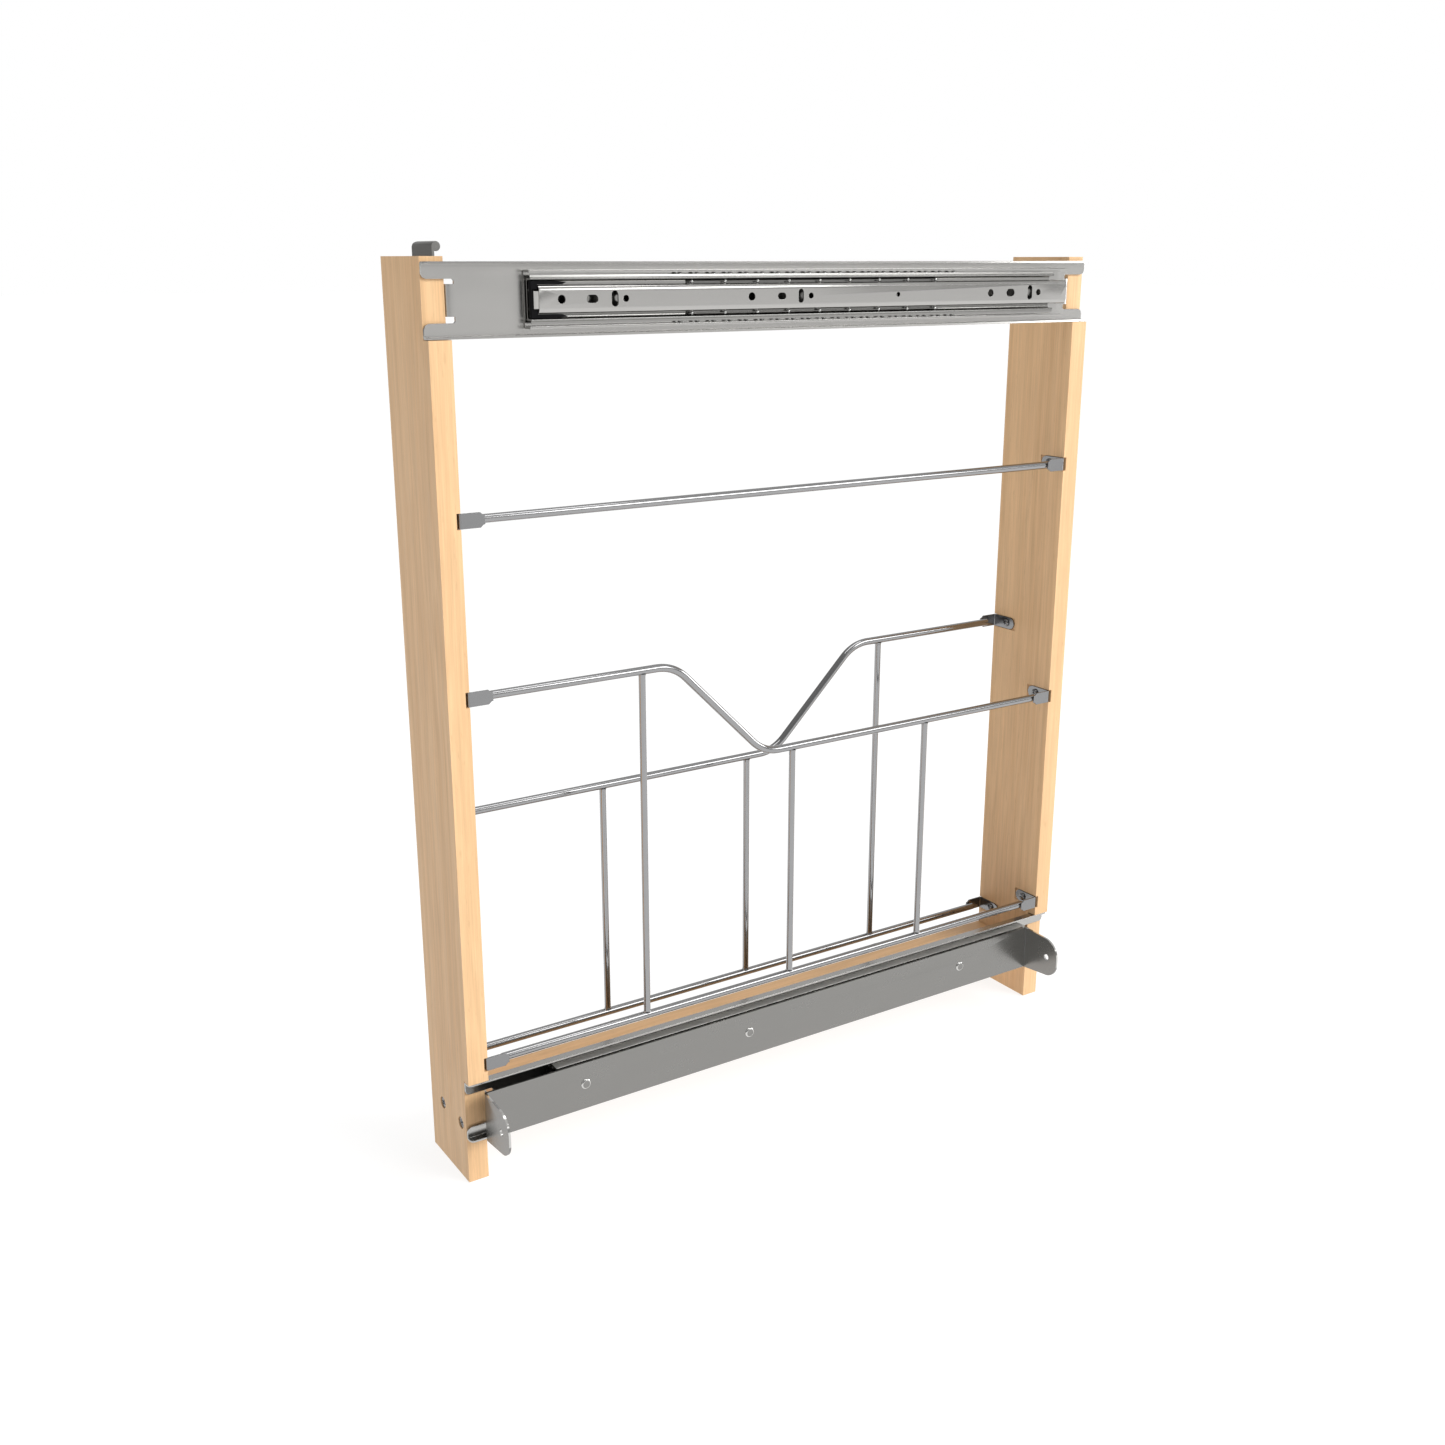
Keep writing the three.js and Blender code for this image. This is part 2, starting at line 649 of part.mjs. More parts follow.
function topCatch() {
  const face = BOARD_THICKNESS + FIT_GAP;
  const { x, z, radius } = CATCH_ROLL;
  const inner = face + CATCH_SHEET;
  const meet = THREE.MathUtils.radToDeg(Math.asin((inner - x) / radius)) - 90;
  const profile = [
    [face, CATCH_BOTTOM_Z],
    [inner, CATCH_BOTTOM_Z],
    ...arcPoints(x, z, radius, meet, 180, 10),
  ];
  const top = z + radius;
  const farCorner = [
    [CATCH_Y[1] - 3, top + 1],
    [CATCH_Y[1] - 3, top],
    [CATCH_Y[1] - 0.9, top - 0.9],
    [CATCH_Y[1], top - 3],
    [CATCH_Y[1] + 1, top - 3],
    [CATCH_Y[1] + 1, top + 1],
  ];
  const middle = (CATCH_Y[0] + CATCH_Y[1]) / 2;
  return cutAway(alongY(profile, ...CATCH_Y), [
    alongX(farCorner, face - 1, x + radius + 1),
    screwHole('front', face - 1, inner + 1, middle, CATCH_SCREW_Z, 1.9),
  ]);
}

// ---------- assembly ----------

const frame = new THREE.Group();
frame.name = 'drawing_frame';
frame.position.copy(REFERENCE_POINT).negate();

function place(name, geometry, finish, x = 0, y = 0, z = 0) {
  const mesh = new THREE.Mesh(geometry, new THREE.MeshStandardMaterial(FINISH[finish]));
  mesh.name = name;
  mesh.position.set(x, y, z);
  frame.add(mesh);
  return mesh;
}

// A piece drawn for the near edge of the front board, turned to serve another end or edge.
function placeAtEnd(name, geometry, finish, end, edge, z) {
  const mesh = place(name, geometry, finish, fromEnd(end, 0), fromEdge(edge, 0), z);
  if (end === 'rear' && edge === 'near') mesh.rotation.y = Math.PI;
  if (end === 'front' && edge === 'far') mesh.rotation.x = Math.PI;
  if (end === 'rear' && edge === 'far') mesh.rotation.z = Math.PI;
  return mesh;
}

function addWoodenFrame() {
  place('front_board', uprightBoard('front'), 'wood');
  place('rear_board', uprightBoard('rear'), 'wood');
  place('bottom_shelf', bottomShelf(), 'wood');
}

function addSlide(level, z) {
  const tabBottom = level === 'top' ? -TAB_HALF_HEIGHT : LOW_TAB_BOTTOM;
  place(`${level}_channel`, channel(tabBottom), 'channelSteel', 0, 0, z);
  place(`${level}_slide_outer`, slideOuter(), 'slideSteel', 0, 0, z);
  place(`${level}_slide_mid`, slideMid(), 'slideSteel', 0, 0, z);
  place(`${level}_slide_inner`, slideInner(), 'slideSteel', 0, 0, z);
  place(`${level}_slide_bumper`, slideBumper(), 'blackPlastic', 0, 0, z);
  place(`${level}_outer_cage`, outerCage(), 'ballCage', 0, 0, z);
  place(`${level}_inner_cage`, innerCage(), 'ballCage', 0, 0, z);
  const head = BOARD_THICKNESS + FIT_GAP + CHANNEL_SHEET + 0.1;
  for (const end of ['front', 'rear']) {
    const turned = end === 'rear' ? Math.PI : 0;
    const name = `${level}_channel_screw_${end}`;
    place(name, panScrew(), 'screwSteel', fromEnd(end, head), TAB_SCREW_Y, z + TAB_SCREW_RISE)
      .rotation.z = turned;
  }
}

function addClip(name, end, edge, z) {
  placeAtEnd(name, endClip(), 'clipSteel', end, edge, z);
  const screw = panScrew().translate(CLIP_FACE_X + CLIP_SHEET + 0.1, CLIP_SCREW_Y, 0);
  placeAtEnd(`${name}_screw`, screw, 'screwSteel', end, edge, z);
}

function addTowelRail() {
  place('towel_rail', straightRail(), 'chrome', 0, RAIL_INSET_Y, TOWEL_RAIL_Z);
  addClip('towel_clip_front', 'front', 'near', TOWEL_RAIL_Z);
  addClip('towel_clip_rear', 'rear', 'near', TOWEL_RAIL_Z);
}

// One wire panel; the far panel is the near one turned end for end about the upright axis.
function addPanel(edge, baseZ) {
  const highEnd = edge === 'near' ? 'front' : 'rear';
  const lowEnd = edge === 'near' ? 'rear' : 'front';
  const y = fromEdge(edge, RAIL_INSET_Y);
  place(`${edge}_panel_base`, straightRail(), 'chrome', 0, y, baseZ);
  const rail = place(`${edge}_panel_rail`, steppedRail(), 'chrome', fromEnd(highEnd, 0), y, baseZ);
  if (edge === 'far') rail.rotation.z = Math.PI;
  for (const step of [-1, 0, 1]) {
    const x = FRAME_LENGTH / 2 + step * BAR_SPACING;
    const high = highEnd === 'front' ? step < 0 : step > 0;
    place(`${edge}_panel_bar_${step + 2}`, panelBar(high), 'chrome', x, y, baseZ);
  }
  addClip(`${edge}_base_clip_front`, 'front', edge, baseZ);
  addClip(`${edge}_base_clip_rear`, 'rear', edge, baseZ);
  addClip(`${edge}_high_clip`, highEnd, edge, baseZ + PANEL_LOW + PANEL_STEP);
  addClip(`${edge}_low_clip`, lowEnd, edge, baseZ + PANEL_LOW);
}

function addFastenersAndCatch() {
  for (const [index, y] of SHELF_SCREW_Y.entries()) {
    place(`shelf_screw_front_${index + 1}`, shelfScrew(), 'screwSteel', 0.6, y, SHELF_SCREW_Z);
    place(`shelf_screw_rear_${index + 1}`, shelfScrew(), 'screwSteel', FRAME_LENGTH - 0.6, y, SHELF_SCREW_Z)
      .rotation.z = Math.PI;
  }
  place('top_catch', topCatch(), 'bracketSteel');
  const head = BOARD_THICKNESS + FIT_GAP + CATCH_SHEET + 0.1;
  place('top_catch_screw', panScrew(), 'screwSteel', head, (CATCH_Y[0] + CATCH_Y[1]) / 2, CATCH_SCREW_Z);
}

addWoodenFrame();
addSlide('top', TOP_SLIDE_Z);
addSlide('bottom', BOTTOM_SLIDE_Z);
place('mount_bracket', mountBracket(), 'bracketSteel');
addTowelRail();
addPanel('near', PANEL_BASE_Z);
addPanel('far', FAR_PANEL_BASE_Z);
addFastenersAndCatch();

const part = new THREE.Group();
part.name = 'pull_out_organiser';
part.add(frame);

export default part;
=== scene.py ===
import json
import math
import bmesh
import bpy
from mathutils import Matrix, Vector


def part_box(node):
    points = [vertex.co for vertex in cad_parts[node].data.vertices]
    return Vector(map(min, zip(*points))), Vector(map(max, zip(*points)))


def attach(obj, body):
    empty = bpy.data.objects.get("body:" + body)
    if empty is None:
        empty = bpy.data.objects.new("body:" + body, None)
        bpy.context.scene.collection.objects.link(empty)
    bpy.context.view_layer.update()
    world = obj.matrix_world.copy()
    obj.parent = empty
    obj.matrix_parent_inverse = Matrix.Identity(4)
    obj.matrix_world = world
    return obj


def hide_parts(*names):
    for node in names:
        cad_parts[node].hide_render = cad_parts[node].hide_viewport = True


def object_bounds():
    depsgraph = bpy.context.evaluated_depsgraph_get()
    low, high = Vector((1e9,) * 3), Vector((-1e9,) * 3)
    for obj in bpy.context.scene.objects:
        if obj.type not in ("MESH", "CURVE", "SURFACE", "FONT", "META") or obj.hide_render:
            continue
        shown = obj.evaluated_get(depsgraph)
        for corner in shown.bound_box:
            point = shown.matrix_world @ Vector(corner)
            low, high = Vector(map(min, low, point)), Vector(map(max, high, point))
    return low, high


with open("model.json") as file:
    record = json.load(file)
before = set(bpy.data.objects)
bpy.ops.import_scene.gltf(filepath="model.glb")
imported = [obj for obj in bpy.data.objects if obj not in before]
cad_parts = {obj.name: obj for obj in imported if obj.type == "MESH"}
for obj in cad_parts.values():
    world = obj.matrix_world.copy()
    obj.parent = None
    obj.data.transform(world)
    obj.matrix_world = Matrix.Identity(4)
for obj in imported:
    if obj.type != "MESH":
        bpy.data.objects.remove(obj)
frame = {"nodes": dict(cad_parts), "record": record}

bpy.context.view_layer.update()
cad_low, cad_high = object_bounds()

NODES = frame["nodes"]
BODY_OF = {n: b for b, ns in frame["record"]["behaviour"]["bodies"].items() for n in ns}
SLOT_OF = {s["node"]: s["material_slot"] for s in frame["record"]["subparts"]}

MM = 0.001
ROW_Y = 15 * MM  # the boards' near edges
AXIS_X = Vector((1, 0, 0))
AXIS_Y = Vector((0, 1, 0))
AXIS_Z = Vector((0, 0, 1))

# How far the sharp edges are broken on each kind of piece.
BOARD_EDGE = 0.7 * MM
SHEET_EDGE = 0.3 * MM
CLIP_EDGE = 0.25 * MM
SLIDE_EDGE = 0.15 * MM

RAIL_RADIUS = 2.9 * MM
RAIL_DOME = 0.5 * MM  # height of a rail's domed end
BAR_RADIUS = 2.45 * MM
STEP_RUN = 142.5 * MM  # from the end of a panel's top wire to its step
STEP_BEND = 14 * MM
WIRE_SIDES = 24

# The weld collar at each end of a bar.
COLLAR_SINK = 0.9 * MM  # how far it reaches into the rail
COLLAR_LENGTH = 2.24 * MM
COLLAR_FLARE = 0.55 * MM

# Upper halves of the rolled slide members: (y, z, corner radius), in millimetres, from the boards'
# near edges and the slide's middle line.
SECTIONS = {
    "slide_outer": [
        (4.9, 15.9, 0), (4.9, 16.3, 0.7), (-1.5, 16.3, 0.2), (-1.75, 15.9, 0.15), (-2.6, 15.9, 0.25),
        (-2.6, 17.5, 0.3), (5.9, 17.5, 1.4), (5.9, 15.9, 0)],
    "slide_mid": [
        (2.7, 8.2, 0), (2.7, 11.6, 1.6), (-1.8, 11.6, 0.3), (-2.5, 11.9, 0.3), (-2.5, 12.9, 0.3),
        (-1.85, 13.2, 0.2), (-1.75, 14.6, 0.1), (-1.1, 14.45, 0.2), (-1.4, 12.6, 0.4), (3.7, 12.6, 1.2),
        (3.7, 8.2, 0)],
}

# Each row: balls, their pitch, radius and height above the slide's middle line, how far their
# centres stand behind the strip's near edge, and the upper half of the strip's section (y, z).
CAGES = {
    "outer": (19, 12.9, 1.6, 14.45, 2.2, [(5.2, 14.25), (0, 14.25), (0, 14.7), (5.3, 14.7), (5.6, 14.4)]),
    "inner": (9, 25.8, 1.3, 10.05, 1.3, [(3.3, 9.85), (0, 9.85), (0, 10.25), (3.5, 10.25), (3.7, 10.05)]),
}
CAGE_END = 2.4 * MM  # from the strip's front end to its first ball

# How the CAD meshes are joined up, and what counts as a long outer bend of a slide member.
WELD_DISTANCE = 2e-6
FLAT_ANGLE = math.radians(0.6)
BEND_ANGLE = 0.3
BEND_LENGTH = 0.3
BEND_DEPTH = 1.6 * MM  # behind the member's front
LEVEL = 1e-6
SHOULDER_RADIUS = 1.0 * MM

# Pairs of x and radius, in millimetres; the heads look along +X.
PAN_PROFILE = [
    (-11, 0), (-9, 1.4), (0, 1.4), (0, 3.05), (0.55, 3.1), (1.0, 2.9), (1.45, 2.4), (1.75, 1.6), (1.88, 0)]
FLAT_PROFILE = [
    (-39, 0), (-36.5, 1.75), (-2.7, 1.75), (-0.7, 3.9), (-0.3, 4.2), (-0.06, 4.1), (0, 3.85), (0, 0)]
DIMPLE_PROFILE = [
    (-0.6, 0), (-0.6, 4.0), (0, 4.0), (0.18, 3.98), (0.42, 3.86), (0.66, 3.67), (0.87, 3.42), (1.03, 3.12),
    (1.13, 2.8), (1.18, 2.4), (1.2, 1.9), (1.2, 1), (1.2, 0)]
PAN_TOP = 1.88 * MM
PAN_SEAT = 1.9 * MM  # from the outer end of a pan screw's node to the face its head sits on
TURN_STEP = 37  # degrees from one screw's recess to the next, as screws stop at any angle
DIMPLE_X = (78.4, 219.9, 431.8)  # from the bracket's front end
DIMPLE_FACE_Y = ROW_Y - 5.3 * MM
BLADE_OVERSHOOT = 0.3 * MM  # above the screw's face, so that the cut is clean

BOARD_LIGHT = (0.765, 0.497, 0.268)
BOARD_DARK = (0.69, 0.432, 0.226)
SHELF_LIGHT = (0.73, 0.46, 0.24)
SHELF_DARK = (0.62, 0.375, 0.188)
FLECK_BROWN = (0.47, 0.28, 0.14)
PALER = 1.06  # the palest patches of wood, as a multiple of its light tone

FLOOR_HALF = 30.0
FLOOR_GAP = 0.6 * MM  # below the part
FLOOR_GLOW = 0.84

# The room's brightness from below the horizon (0) to overhead (1).
ROOM_STOPS = [(0.0, 1.0), (0.09, 0.85), (0.13, 0.4), (0.3, 0.35), (0.42, 0.55), (0.7, 0.65), (1.0, 0.8)]
ROOM_BEHIND = (0.66, 0.66, 0.655)

CAMERA_AT = (-0.3697, -0.8667, 0.5675)
CAMERA_LOOK = (0.5186, 0.8045, -0.2893)
CAMERA_LENS = 38.16


# ---------- node helpers ----------

def add_node(tree, kind, inputs=None, **settings):
    """A new node; an input may be a plain value or another node's output socket."""
    node = tree.nodes.new(kind)
    for key, value in settings.items():
        setattr(node, key, value)
    for key, value in (inputs or {}).items():
        if isinstance(value, bpy.types.NodeSocket):
            tree.links.new(value, node.inputs[key])
        else:
            node.inputs[key].default_value = value
    return node


def start_material(name):
    material = bpy.data.materials.new(name)
    material.use_nodes = True
    tree = material.node_tree
    return material, tree, tree.nodes["Principled BSDF"]


def stretched(tree, scale, offset=(0, 0, 0)):
    """The piece's own coordinates, in metres, times a scale along each axis."""
    coords = add_node(tree, "ShaderNodeTexCoord")
    mapping = add_node(tree, "ShaderNodeMapping", {0: coords.outputs["Object"], "Scale": scale})
    mapping.inputs["Location"].default_value = offset
    return mapping.outputs[0]


def noise(tree, vector, detail=2.0, roughness=0.5):
    node = add_node(tree, "ShaderNodeTexNoise", {
        "Vector": vector, "Scale": 1.0, "Detail": detail, "Roughness": roughness})
    return node.outputs["Fac"]


def spread(tree, value, low, high, to_low=0.0, to_high=1.0):
    """Maps value from low..high to to_low..to_high, held at the ends."""
    node = add_node(tree, "ShaderNodeMapRange", {
        "Value": value, "From Min": low, "From Max": high, "To Min": to_low, "To Max": to_high})
    return node.outputs[0]


def math_node(tree, operation, a, b):
    return add_node(tree, "ShaderNodeMath", {0: a, 1: b}, operation=operation).outputs[0]


def grey_of(tree, value):
    return add_node(tree, "ShaderNodeCombineColor", {0: value, 1: value, 2: value}).outputs[0]


def add_relief(tree, shader, height, strength, distance):
    relief = add_node(tree, "ShaderNodeBump", {"Height": height, "Strength": strength, "Distance": distance})
    tree.links.new(relief.outputs[0], shader.inputs["Normal"])


def mix_colour(tree, factor, a, b, blend="MIX"):
    node = add_node(tree, "ShaderNodeMix", data_type="RGBA", blend_type=blend)
    for index, value in ((0, factor), (6, a), (7, b)):
        if isinstance(value, bpy.types.NodeSocket):
            tree.links.new(value, node.inputs[index])
        else:
            node.inputs[index].default_value = value if index == 0 else (*value[:3], 1)
    return node.outputs[2]


# ---------- materials ----------

def wood(name, grain, seed, light=BOARD_LIGHT, dark=BOARD_DARK):
    """Pale lacquered hardwood; grain is the axis the fibres run along."""
    material, tree, shader = start_material(name)

    def along(across, along_grain):
        return tuple(along_grain if axis == grain else across for axis in "XYZ")

    offset = (seed * 1.7, seed * 2.3, seed * 3.1)
    drift = noise(tree, stretched(tree, along(9, 1.6), offset), detail=3)
    drift = spread(tree, drift, 0.3, 0.7, -0.35, 0.35)
    push = add_node(tree, "ShaderNodeCombineXYZ", {"X": drift, "Y": drift, "Z": drift})
    push_far = add_node(tree, "ShaderNodeVectorMath", {0: push.outputs[0], "Scale": 6.0}, operation="SCALE")
    rings_at = add_node(tree, "ShaderNodeVectorMath", {
        0: stretched(tree, along(170, 2.6), offset), 1: push_far.outputs[0]}, operation="ADD")
    rings = noise(tree, rings_at.outputs[0], detail=2, roughness=0.45)
    rings = spread(tree, rings, 0.34, 0.68)
    broad = spread(tree, noise(tree, stretched(tree, along(24, 2), offset), detail=2), 0.3, 0.7)
    fibre = spread(tree, noise(tree, stretched(tree, along(1100, 24), offset), detail=3), 0.3, 0.7)
    streak = noise(tree, stretched(tree, along(380, 7), offset), detail=3, roughness=0.6)
    streak = spread(tree, streak, 0.3, 0.7)
    mottle = spread(tree, noise(tree, stretched(tree, along(75, 34), offset), detail=2), 0.3, 0.7)
    fleck = noise(tree, stretched(tree, along(620, 95), offset), detail=1)
    fleck = spread(tree, fleck, 0.66, 0.76)

    tone = mix_colour(tree, rings, light, dark)
    paler = tuple(min(1.0, c * PALER) for c in light)
    tone = mix_colour(tree, math_node(tree, "MULTIPLY", broad, 0.35), tone, paler)
    fine = math_node(tree, "MULTIPLY", spread(tree, fibre, 0.0, 1.0, 0.91, 1.06),
                     spread(tree, streak, 0.0, 1.0, 0.95, 1.045))
    fine = math_node(tree, "MULTIPLY", fine, spread(tree, mottle, 0.0, 1.0, 0.98, 1.02))
    tone = mix_colour(tree, 1.0, tone, grey_of(tree, fine), "MULTIPLY")
    tone = mix_colour(tree, math_node(tree, "MULTIPLY", fleck, 0.22), tone, FLECK_BROWN)
    tree.links.new(tone, shader.inputs["Base Color"])

    rough = spread(tree, math_node(tree, "ADD", rings, fibre), 0.0, 2.0, 0.42, 0.58)
    tree.links.new(rough, shader.inputs["Roughness"])
    height = math_node(tree, "SUBTRACT", math_node(tree, "MULTIPLY", fibre, 0.4), fleck)
    add_relief(tree, shader, height, 0.12, 0.00025)
    shader.inputs["Specular IOR Level"].default_value = 0.35
    shader.inputs["Coat Weight"].default_value = 0.08
    shader.inputs["Coat Roughness"].default_value = 0.3
    return material


def steel(name, colour, roughness, seed=0.0, lines=0.012):
    """Plated sheet steel with faint rolling lines along X and a slightly cloudy finish."""
    material, tree, shader = start_material(name)
    offset = (seed * 3.3, seed * 1.1, seed * 2.7)
    line = noise(tree, stretched(tree, (14, 1900, 1900), offset), detail=3, roughness=0.6)
    cloud = noise(tree, stretched(tree, (26, 55, 55), offset), detail=3, roughness=0.6)
    speck = noise(tree, stretched(tree, (480, 480, 480), offset), detail=2)
    share = spread(tree, line, 0.25, 0.75, 1 - lines, 1 + lines)
    share = math_node(tree, "MULTIPLY", share, spread(tree, cloud, 0.3, 0.7, 0.988, 1.012))
    tone = mix_colour(tree, 1.0, colour, grey_of(tree, share), "MULTIPLY")
    tree.links.new(tone, shader.inputs["Base Color"])
    rough = math_node(tree, "ADD", spread(tree, cloud, 0.3, 0.7, -0.015, 0.015),
                      spread(tree, speck, 0.3, 0.7, roughness - 0.01, roughness + 0.01))
    tree.links.new(rough, shader.inputs["Roughness"])
    height = math_node(tree, "ADD", line, math_node(tree, "MULTIPLY", speck, 0.15))
    add_relief(tree, shader, height, 0.004, 0.00008)
    shader.inputs["Metallic"].default_value = 1.0
    return material


def chrome(name, colour, roughness):
    """Bright plated wire with faint handling marks."""
    material, tree, shader = start_material(name)
    smudge = noise(tree, stretched(tree, (60, 60, 60)), detail=4, roughness=0.6)
    pits = noise(tree, stretched(tree, (900, 900, 900)), detail=2)
    share = spread(tree, smudge, 0.3, 0.7, 0.98, 1.02)
    tone = mix_colour(tree, 1.0, colour, grey_of(tree, share), "MULTIPLY")
    tree.links.new(tone, shader.inputs["Base Color"])
    tree.links.new(spread(tree, smudge, 0.35, 0.75, roughness, roughness + 0.03), shader.inputs["Roughness"])
    add_relief(tree, shader, pits, 0.01, 0.00002)
    shader.inputs["Metallic"].default_value = 1.0
    return material


def moulded(name, colour):
    """Black moulded plastic with a fine texture."""
    material, tree, shader = start_material(name)
    grain = noise(tree, stretched(tree, (1500, 1500, 1500)), detail=2)
    cloud = noise(tree, stretched(tree, (120, 120, 120)), detail=2)
    tone = mix_colour(tree, spread(tree, cloud, 0.3, 0.7), colour, tuple(c * 1.5 for c in colour))
    tree.links.new(tone, shader.inputs["Base Color"])
    tree.links.new(spread(tree, grain, 0.3, 0.7, 0.38, 0.55), shader.inputs["Roughness"])
    add_relief(tree, shader, grain, 0.15, 0.0001)
    shader.inputs["Specular IOR Level"].default_value = 0.06
    return material


MATERIALS = {
    "front_board": wood("front_board_wood", "Z", 1.0),
    "rear_board": wood("rear_board_wood", "Z", 5.0),
    "bottom_shelf": wood("shelf_wood", "X", 9.0, SHELF_LIGHT, SHELF_DARK),
    "channel_steel": steel("channel_steel", (0.47, 0.463, 0.448), 0.25),
    "slide_steel": steel("slide_steel", (0.47, 0.463, 0.449), 0.17, seed=2.0),
    # painted shade: the middle slide member is darker than the others to stand for the shade in the slide's
    # recesses
    "slide_mid": steel("mid_steel", (0.31, 0.306, 0.295), 0.17, seed=8.0),
    # painted shade: the cage strip is dark to stand for the shade between the balls
    "cage_steel": steel("cage_steel", (0.22, 0.217, 0.21), 0.25, seed=3.0),
    "ball_steel": chrome("ball_steel", (0.62, 0.62, 0.61), 0.05),
    "bracket_steel": steel("bracket_steel", (0.27, 0.266, 0.256), 0.26, seed=4.0),
    # painted sheen: paler, satin steel for the outer slide members' level faces, lighter only for how light
    # falls on them
    "painted_sheen_level": steel("painted_sheen_level", (0.78, 0.77, 0.75), 0.45, seed=9.0),
    # painted shade: near-black steel for the inside of the rear ear's bend, where shade falls
    "painted_shade_bend": steel("painted_shade_bend", (0.1, 0.099, 0.096), 0.4, seed=10.0),
    # painted highlight: paler, glossier steel for the rims of the bracket's ears and dimples, where the
    # lamps glint
    "painted_highlight_edge": steel("painted_highlight_edge", (0.6, 0.595, 0.58), 0.1, seed=7.0),
    "clip_steel": steel("clip_steel", (0.275, 0.276, 0.28), 0.24, seed=5.0),
    "screw_steel": steel("screw_steel", (0.23, 0.23, 0.235), 0.25, seed=6.0, lines=0.02),
    "chrome_wire": chrome("chrome_wire", (0.345, 0.345, 0.35), 0.1),
    "black_plastic": moulded("black_plastic", (0.004, 0.004, 0.0045)),
}


def material_of(node):
    """The node's own material, one for its kind of piece, or its slot's."""
    kind = node.split("_", 1)[1]
    return MATERIALS.get(node) or MATERIALS.get(kind) or MATERIALS[SLOT_OF[node]]


# ---------- piece helpers ----------

def link_object(name, data):
    made = bpy.data.objects.new(name, data)
    bpy.context.scene.collection.objects.link(made)
    return made


def smooth_but_for(mesh, angle):
    """Smooth shading, except across edges that turn by more than angle degrees."""
    for polygon in mesh.polygons:
        polygon.use_smooth = True
    mesh.set_sharp_from_angle(angle=math.radians(angle))


def finish_mesh(bm, name, material, smooth_angle=35):
    mesh = bpy.data.meshes.new(name)
    bmesh.ops.recalc_face_normals(bm, faces=bm.faces)
    bm.to_mesh(mesh)
    bm.free()
    mesh.materials.append(material)
    smooth_but_for(mesh, smooth_angle)
    return link_object(name, mesh)


def ride_with(piece, node):
    """Makes the piece move with the node."""
    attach(piece, BODY_OF[node])


def stand_for(piece, node):
    """Makes the piece take the node's place."""
    ride_with(piece, node)
    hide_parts(node)
    return piece


def ring_of(bm, centre, radius, side_a, side_b, sides):
    """A ring of vertices around centre, in the plane of side_a and side_b."""
    return [bm.verts.new(centre + (side_a * math.cos(a) + side_b * math.sin(a)) * radius)
            for a in (2 * math.pi * i / sides for i in range(sides))]


def bridge(bm, rings):
    """Four-sided faces between each ring of vertices and the next."""
    for a, b in zip(rings, rings[1:]):
        for i in range(len(a)):
            j = (i + 1) % len(a)
            bm.faces.new((a[i], a[j], b[j], b[i]))


def close_ends(bm, rings):
    bm.faces.new(rings[0][::-1])
    bm.faces.new(rings[-1])


def extruded(outline, x_low, x_high):
    """A solid with the outline, as pairs of y and z, from x_low to x_high."""
    bm = bmesh.new()
    ends = [[bm.verts.new((x, y, z)) for y, z in outline] for x in (x_low, x_high)]
    bridge(bm, ends)
    close_ends(bm, ends)
    return bm


def welded_copy(node):
    """The node's mesh with its triangles joined up into whole flat faces."""
    bm = bmesh.new()
    bm.from_mesh(NODES[node].data)
    bmesh.ops.remove_doubles(bm, verts=bm.verts, dist=WELD_DISTANCE)
    bmesh.ops.dissolve_limit(
        bm, angle_limit=FLAT_ANGLE, verts=bm.verts, edges=bm.edges, use_dissolve_boundaries=False)
    return bm


def is_outer_bend(edge, front):
    """True for a long convex edge of a sheet, level in Y and close behind its front."""
    low, high = sorted(v.co.y for v in edge.verts)
    is_bend = edge.is_convex and edge.calc_face_angle(0) > BEND_ANGLE
    return is_bend and edge.calc_length() > BEND_LENGTH and high < front + BEND_DEPTH and high - low < LEVEL


def round_shoulders(bm):
    """Rolls the long outer bends of the inner slide member to a soft radius."""
    front = min(v.co.y for v in bm.verts)
    bends = [edge for edge in bm.edges if is_outer_bend(edge, front)]
    bmesh.ops.bevel(bm, geom=bends, offset=SHOULDER_RADIUS, segments=5, profile=0.5, affect="EDGES")


def soften(node, width, segments=2, angle=28, shape=None):
    """A copy of the node with every sharp edge slightly rounded, as broken edges are."""
    bm = welded_copy(node)
    if shape:
        shape(bm)
    piece = finish_mesh(bm, node + "_finished", material_of(node))
    bevel = piece.modifiers.new("edges", "BEVEL")
    bevel.width = width
    bevel.segments = segments
    bevel.limit_method = "ANGLE"
    bevel.angle_limit = math.radians(angle)
    bevel.use_clamp_overlap = True
    bevel.harden_normals = True
    return stand_for(piece, node)


def rounded(points, steps=4):
    """Corners (y, z, radius) in millimetres turned into a run of points with rounded corners."""
    found = []
    count = len(points)
    for i, (y, z, radius) in enumerate(points):
        corner = Vector((y, z))
        if radius == 0:
            found.append(corner)
            continue
        towards = [(Vector(points[j % count][:2]) - corner) for j in (i - 1, i + 1)]
        a, b = (corner + d.normalized() * min(radius, d.length * 0.48) for d in towards)
        for k in range(steps + 1):
            t = k / steps
            found.append(a * (1 - t) ** 2 + corner * 2 * t * (1 - t) + b * t ** 2)
    return found


def rolled(node, upper):
    """A length of rolled section; upper is the half above its middle line, as (y, z, radius)."""
    low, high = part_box(node)
    middle = (low.z + high.z) / 2
    lower = [(y, -z, radius) for y, z, radius in reversed(upper)]
    outline = [(ROW_Y + p.x * MM, middle + p.y * MM) for p in rounded(upper + lower)]
    bm = extruded(outline, low.x, high.x)
    return stand_for(finish_mesh(bm, node + "_rolled", material_of(node), 50), node)


# ---------- wires ----------

